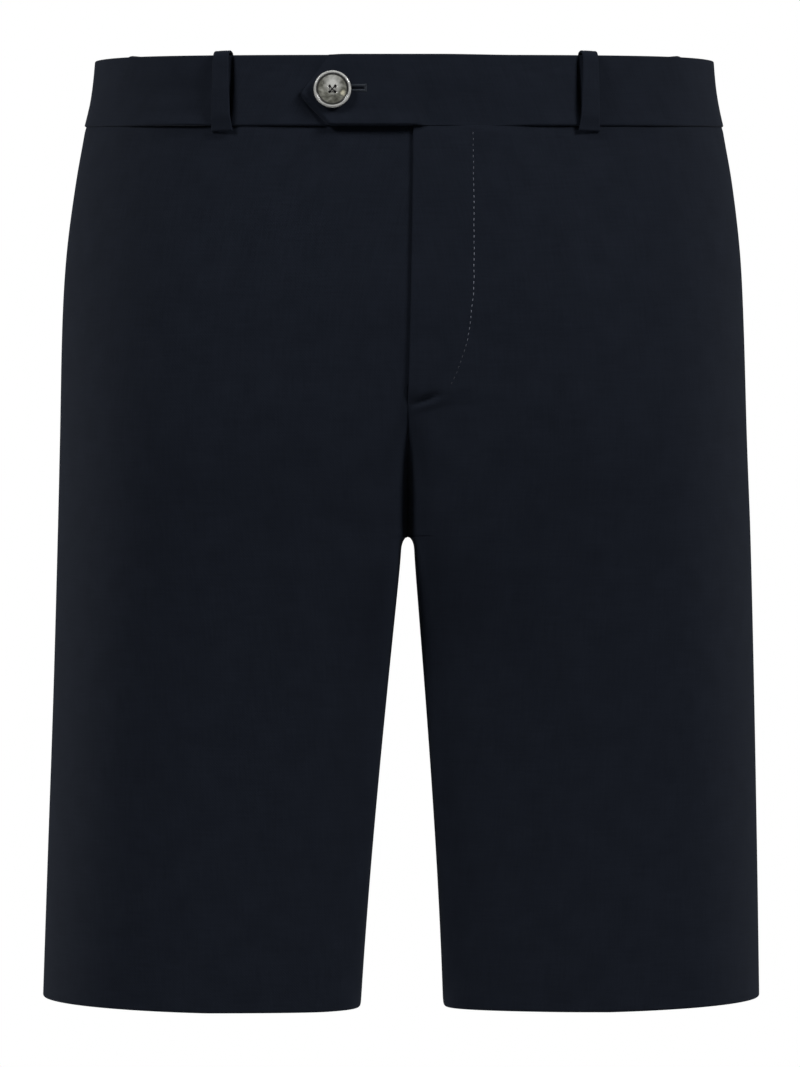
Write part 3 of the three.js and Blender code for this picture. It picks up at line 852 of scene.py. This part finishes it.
def buttonhole_slit():
    """The dark slit between the edges, where the cloth turns down out of the light: a tube in near-black
    colour that paints the slit's shade.
    """
    middle = (HOLE["upper"] + HOLE["lower"]) / 2 - 0.1
    along = np.linspace(HOLE["first"], HOLE["last"], 12)
    path = [tab_point(x, middle, -HOLE["slit"] + 0.1)[0] for x in along]
    return join("Buttonhole_slit", [tube(path, HOLE["slit"], 10)])


# Materials


def set_sockets(node, constants):
    """Constant values on a node's sockets, which are named with underscores for spaces."""
    for socket, value in constants.items():
        node.inputs[socket.replace("_", " ")].default_value = value


def new_material(name, **constants):
    """A principled material with constant values on its sockets, and its tree for the patterns."""
    material = bpy.data.materials.new(name)
    material.use_nodes = True
    tree = material.node_tree
    shader = tree.nodes["Principled BSDF"]
    set_sockets(shader, constants)
    return material, tree, shader


def node_of(tree, kind, **constants):
    """A new node with constant values on its sockets."""
    node = tree.nodes.new("ShaderNode" + kind)
    set_sockets(node, constants)
    return node


def noise_of(tree, source, scale, detail=2.0, stretch=None):
    """A noise pattern on a set of coordinates, stretched where a yarn or a fleck is long."""
    noise = node_of(tree, "TexNoise", Scale=scale, Detail=detail)
    if stretch:
        mapping = node_of(tree, "Mapping", Scale=stretch)
        tree.links.new(source, mapping.inputs["Vector"])
        source = mapping.outputs["Vector"]
    tree.links.new(source, noise.inputs["Vector"])
    return noise.outputs["Fac"]


def ramp_of(tree, source, stops):
    """Colours by value."""
    ramp = node_of(tree, "ValToRGB")
    elements = ramp.color_ramp.elements
    while len(elements) < len(stops):
        elements.new(0.5)
    for element, (position, colour) in zip(elements, stops):
        element.position = position
        element.color = (*colour, 1)
    tree.links.new(source, ramp.inputs["Fac"])
    return ramp.outputs["Color"]


def maths(tree, operation, first, second):
    """One calculation on two values, each a number or a node's output."""
    node = node_of(tree, "Math")
    node.operation = operation
    for socket, value in zip(node.inputs, (first, second)):
        if isinstance(value, (int, float)):
            socket.default_value = value
        else:
            tree.links.new(value, socket)
    return node.outputs[0]


def sum_of(tree, *terms):
    """The sum of outputs, each times its weight."""
    (first, weight), *others = terms
    total = maths(tree, "MULTIPLY", first, weight)
    for output, weight in others:
        total = maths(tree, "ADD", maths(tree, "MULTIPLY", output, weight), total)
    return total


def map_of(tree, name):
    """The coordinates of a piece's map."""
    place = node_of(tree, "UVMap")
    place.uv_map = name
    return place.outputs["UV"]


def grey(level):
    return (level,) * 3


NAVY_DARK = (0.0070, 0.0090, 0.0142)
NAVY_LIGHT = (0.0098, 0.0124, 0.0192)


def cloth_material():
    """Very dark navy worsted: a fine twill of slightly uneven yarns with a low sheen."""
    material, tree, shader = new_material(
        "Navy_suiting",
        Roughness=0.8,
        Specular_IOR_Level=0.04,
        Sheen_Weight=0.025,
        Sheen_Roughness=0.4,
        Sheen_Tint=(0.72, 0.82, 1.0, 1),
    )
    uv = map_of(tree, "cloth")
    patches = noise_of(tree, uv, 60, 3)
    warp = noise_of(tree, uv, 900, 2, (1, 0.06, 1))
    weft = noise_of(tree, uv, 900, 2, (0.06, 1, 1))
    yarns = sum_of(tree, (warp, 0.5), (weft, 0.5))
    shade = sum_of(tree, (yarns, 0.65), (patches, 0.35))
    colour = ramp_of(tree, shade, ((0.35, NAVY_DARK), (0.65, NAVY_LIGHT)))
    tree.links.new(colour, shader.inputs["Base Color"])
    twill = node_of(tree, "TexWave", Scale=420, Distortion=0.6, Detail=1)
    twill.bands_direction = "DIAGONAL"
    tree.links.new(uv, twill.inputs["Vector"])
    relief = sum_of(tree, (twill.outputs["Fac"], 0.5), (yarns, 1.0))
    bump = node_of(tree, "Bump", Strength=0.25, Distance=0.00012)
    tree.links.new(relief, bump.inputs["Height"])
    tree.links.new(bump.outputs["Normal"], shader.inputs["Normal"])
    return material


def thread_and_shade_material(name, dark, light, specular=0.3):
    """Twisted sewing thread between two shades, and the near-black painted shade of the buttonhole's slit.
    """
    material, tree, shader = new_material(name, Roughness=0.6, Specular_IOR_Level=specular)
    pattern = noise_of(tree, node_of(tree, "TexCoord").outputs["Object"], 2400, 1)
    colour = ramp_of(tree, pattern, ((0.35, dark), (0.65, light)))
    tree.links.new(colour, shader.inputs["Base Color"])
    return material


# How plainly the fly's thread shows, by height over the stitching's lower end, as a share of its length
THREAD_SHOWN = ((0.1, grey(0.12)), (0.3, grey(1)), (0.72, grey(1)), (0.95, grey(0.3)))


def fly_thread_material():
    """Pale thread, plainest in the middle of the fly's stitching and darker towards both its ends."""
    material = thread_and_shade_material("Fly_thread", (0.10, 0.11, 0.14), (0.17, 0.18, 0.22))
    tree = material.node_tree
    shader = tree.nodes["Principled BSDF"]
    pale = shader.inputs["Base Color"].links[0].from_socket
    parts = node_of(tree, "SeparateXYZ")
    tree.links.new(node_of(tree, "TexCoord").outputs["Object"], parts.inputs[0])
    bottom = J_CURVE[-1][1] * MM
    height = maths(tree, "DIVIDE", maths(tree, "SUBTRACT", parts.outputs["Z"], bottom), -bottom)
    shown = ramp_of(tree, height, THREAD_SHOWN)
    tree.links.new(blended(tree, shown, NAVY_LIGHT, pale), shader.inputs["Base Color"])
    return material


def distance_from(tree, uv, u, v, stretch=1.0):
    """Distance on a map from a point of it, with the second direction stretched."""
    moved = node_of(tree, "Mapping", Location=(-u, -v * stretch, 0), Scale=(1, stretch, 1))
    tree.links.new(uv, moved.inputs["Vector"])
    length = node_of(tree, "VectorMath")
    length.operation = "LENGTH"
    tree.links.new(moved.outputs["Vector"], length.inputs[0])
    return length.outputs["Value"]


def blended(tree, share, first, second):
    """Two colours mixed by a share."""
    mix = node_of(tree, "Mix")
    mix.data_type = "RGBA"
    sockets = {socket.identifier: socket for socket in mix.inputs}
    tree.links.new(share, sockets["Factor_Float"])
    for socket, value in ((sockets["A_Color"], first), (sockets["B_Color"], second)):
        if isinstance(value, tuple):
            socket.default_value = (*value, 1)
        else:
            tree.links.new(value, socket)
    return next(socket for socket in mix.outputs if socket.identifier == "Result_Color")


# The button's colours, with painted shade in its groove and a painted highlight on its dish
SMOKE = ((0.34, (0.055, 0.055, 0.045)), (0.52, (0.13, 0.13, 0.11)), (0.7, (0.27, 0.27, 0.24)))
RIM = ((0.3, (0.34, 0.34, 0.33)), (0.7, (0.5, 0.5, 0.48)))
# Painted shade: near-black colour in the groove round the dish
GROOVE_SHADE = (0.035, 0.035, 0.033)
# Painted highlight: whitish colour where the dish's hollow catches the light
PAINTED_HIGHLIGHT = (0.62, 0.62, 0.59)
CHIP = (0.58, 0.55, 0.42)


def horn_material():
    """Polished horn-look resin: a pale rim, painted shade in its groove, and a smoky dish with a lighter
    cream chip and a painted highlight above its middle.
    """
    material, tree, shader = new_material("Horn", Roughness=0.24, Coat_Weight=0.5, Coat_Roughness=0.1)
    uv = map_of(tree, "disc")
    mottle = noise_of(tree, uv, 2.6, 4, (1.0, 1.5, 1.0))
    smoky = ramp_of(tree, mottle, SMOKE)
    grain = maths(tree, "MULTIPLY", noise_of(tree, uv, 5, 3), 0.35)
    # Painted highlight: a whitish patch above the middle of the dish, its edge broken by the grain
    from_highlight = maths(tree, "ADD", distance_from(tree, uv, -0.02, 0.32, 0.85), grain)
    highlight_share = ramp_of(tree, from_highlight, ((0.3, grey(0.9)), (0.74, grey(0))))
    dish = blended(tree, highlight_share, smoky, PAINTED_HIGHLIGHT)
    from_chip = maths(tree, "ADD", distance_from(tree, uv, -0.56, -0.2), grain)
    chip_share = ramp_of(tree, from_chip, ((0.22, grey(0.85)), (0.36, grey(0))))
    chipped = blended(tree, chip_share, dish, CHIP)
    out = distance_from(tree, uv, 0, 0)
    # Painted shade in the groove between the rim and the dish
    groove_shade_share = ramp_of(tree, out, ((0.73, grey(0)), (0.78, grey(1))))
    groove_shaded = blended(tree, groove_shade_share, chipped, GROOVE_SHADE)
    rim_share = ramp_of(tree, out, ((0.85, grey(0)), (0.89, grey(1))))
    rim = ramp_of(tree, mottle, RIM)
    tree.links.new(blended(tree, rim_share, groove_shaded, rim), shader.inputs["Base Color"])
    return material


WHITE = (1, 1, 1, 1)
# The floor's place and size in metres, and how much lighter it looks than the light it gives back
FLOOR = {"height": -2.2, "radius": 4}
FLOOR_GLOW = 0.34


def paper_material():
    """Pale, even floor, which looks lighter than the light it gives back."""
    material, tree, shader = new_material(
        "Studio_floor", Roughness=0.9, Specular_IOR_Level=0.1, Emission_Color=WHITE
    )
    pattern = noise_of(tree, node_of(tree, "TexCoord").outputs["Object"], 3, 2)
    colour = ramp_of(tree, pattern, ((0.3, grey(0.74)), (0.7, grey(0.78))))
    tree.links.new(colour, shader.inputs["Base Color"])
    ray = node_of(tree, "LightPath")
    glow = maths(tree, "MULTIPLY", ray.outputs["Is Camera Ray"], FLOOR_GLOW)
    tree.links.new(glow, shader.inputs["Emission Strength"])
    return material


# Studio

# What the lights are aimed at, in metres
TARGET = Vector((0.0, 0.0, -0.22))
# Soft lights: azimuth and elevation in degrees, distance, width and height in metres, and power in
# watts. Azimuth 0 is in front of the shorts and 90 is on the wearer's left.
LIGHTS = {
    "Right_key": (55, 38, 6.0, 1.6, 1.6, 300),
    "Left_key": (-55, 38, 6.0, 1.6, 1.6, 225),
    "Left_strip": (-110, -2, 2.0, 0.7, 1.8, 14),
    "Right_strip": (115, 0, 2.0, 0.7, 1.8, 8),
    "Back_fill": (180, 45, 3.0, 1.6, 1.6, 26),
}
SKY = {"colour": (0.94, 0.97, 1.0, 1), "strength": 0.04}
CAMERA = {"x": -4.24, "y": -3318, "z": -216, "lens": 203.7}


def area_light(name, azimuth, elevation, distance, width, height, power):
    """A soft light aimed at the shorts."""
    light = bpy.data.lights.new(name, "AREA")
    light.shape = "RECTANGLE"
    light.size, light.size_y = width, height
    light.energy = power
    obj = bpy.data.objects.new(name, light)
    a, e = math.radians(azimuth), math.radians(elevation)
    way = Vector((math.sin(a) * math.cos(e), -math.cos(a) * math.cos(e), math.sin(e)))
    obj.location = TARGET + way * distance
    obj.rotation_euler = way.to_track_quat("Z", "Y").to_euler()
    bpy.context.scene.collection.objects.link(obj)


def studio_floor():
    """A wide round floor well below the shorts."""
    bpy.ops.mesh.primitive_circle_add(vertices=96, radius=FLOOR["radius"], fill_type="NGON")
    floor = bpy.context.object
    floor.location.z = FLOOR["height"]
    floor.name = "Floor"
    floor.data.materials.append(paper_material())


def surroundings():
    """White to look at, and a faint bluish light on the shorts."""
    world = bpy.data.worlds.new("Studio")
    world.use_nodes = True
    tree = world.node_tree
    seen = node_of(tree, "Background", Color=WHITE, Strength=1.0)
    lighting = node_of(tree, "Background", Color=SKY["colour"], Strength=SKY["strength"])
    ray = node_of(tree, "LightPath")
    mix = node_of(tree, "MixShader")
    tree.links.new(ray.outputs["Is Camera Ray"], mix.inputs["Fac"])
    tree.links.new(lighting.outputs["Background"], mix.inputs[1])
    tree.links.new(seen.outputs["Background"], mix.inputs[2])
    tree.links.new(mix.outputs["Shader"], tree.nodes["World Output"].inputs["Surface"])
    bpy.context.scene.world = world


def camera():
    """The photograph's view: square from the front, from over three metres away."""
    lens = bpy.data.cameras.new("Camera")
    lens.lens = CAMERA["lens"]
    lens.clip_end = 30
    viewer = bpy.data.objects.new("Camera", lens)
    viewer.location = (CAMERA["x"] * MM, CAMERA["y"] * MM, CAMERA["z"] * MM)
    viewer.rotation_euler = (QUARTER_TURN, 0, 0)
    bpy.context.scene.collection.objects.link(viewer)
    bpy.context.scene.camera = viewer
    bpy.context.scene.view_settings.view_transform = "Standard"


def studio():
    studio_floor()
    for name, light in LIGHTS.items():
        area_light(name, *light)
    surroundings()
    camera()


# The shorts


def dress(obj, material, slot, *nodes):
    """Gives a piece its material and body, and lets it stand for CAD nodes."""
    obj.data.materials.clear()
    obj.data.materials.append(material)
    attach(obj, "root")
    if nodes:
        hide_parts(*nodes)
    return obj


navy = cloth_material()
pale_thread = fly_thread_material()
dark_thread = thread_and_shade_material("Dark_thread", (0.004, 0.004, 0.006), (0.012, 0.010, 0.010))
hole_thread = thread_and_shade_material("Buttonhole_thread", (0.016, 0.021, 0.030), (0.036, 0.044, 0.058))
# Near-black colour on the buttonhole's slit: painted shade
shadowed = thread_and_shade_material("Buttonhole_slit", (0.001, 0.001, 0.0015), (0.002, 0.002, 0.003), 0.0)
horn = horn_material()

# The flat cut of what shows of each piece, in metres, and a panel's area in square metres
PANELS = (
    {"name": "front_right", "side": RIGHT, "back": False, "flat": (0.362, 0.485), "area": 0.142},
    {"name": "front_left", "side": LEFT, "back": False, "flat": (0.358, 0.485), "area": 0.138},
    {"name": "back_right", "side": RIGHT, "back": True, "flat": (0.351, 0.495), "area": 0.142},
    {"name": "back_left", "side": LEFT, "back": True, "flat": (0.348, 0.495), "area": 0.141},
)
BANDS = (
    {"name": "waistband_right", "side": RIGHT, "flat": (0.47, 0.038)},
    {"name": "waistband_left", "side": LEFT, "flat": (0.50, 0.038)},
)

dress(fly_stitches(), pale_thread, "cloth")
dress(buttonhole_edges(), hole_thread, "cloth")
dress(buttonhole_slit(), shadowed, "cloth")

for row in PANELS:
    piece = dress(panel("Cloth_" + row["name"], row["side"], row["back"]), navy, "cloth", row["name"])
for row in BANDS:
    piece = dress(waistband("Cloth_" + row["name"], row["side"]), navy, "cloth", row["name"])
for row in LOOPS:
    piece = dress(belt_loop("Cloth_" + row["name"], row), navy, "cloth", row["name"])

disc = button()
lay_on_tab(disc)
dress(disc, horn, "horn", "button")
crossed = button_thread()
lay_on_tab(crossed)
dress(crossed, dark_thread, "cloth")

studio()
